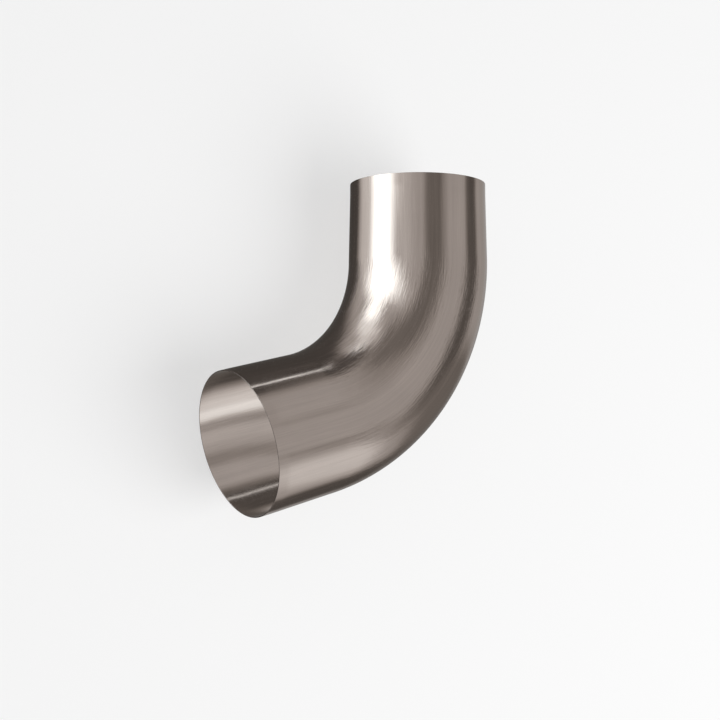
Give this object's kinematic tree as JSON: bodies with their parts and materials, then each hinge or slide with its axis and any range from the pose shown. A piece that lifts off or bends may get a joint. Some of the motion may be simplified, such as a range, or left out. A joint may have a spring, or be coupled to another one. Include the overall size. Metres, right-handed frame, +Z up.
{
  "type": "downpipe bend",
  "caption": "Thin-walled round steel downpipe bend that turns the flow and joins two pipes, with a spigot at one end and a socket at the other.",
  "frame": {"origin": "on the floor, under the middle of the box round the bend as it lies on its side", "axes": "+Y out of the spigot along its leg, +Z up and square to the plane of the bend; the socket opens towards -X and 15 degrees towards -Y"},
  "size_m": [0.21, 0.2406, 0.1022],
  "materials": {
    "steel": "bare sheet steel with a fine grain along the tube"
  },
  "bodies": {
    "root": {"downpipe_bend": "steel"}
  },
  "joints": []
}
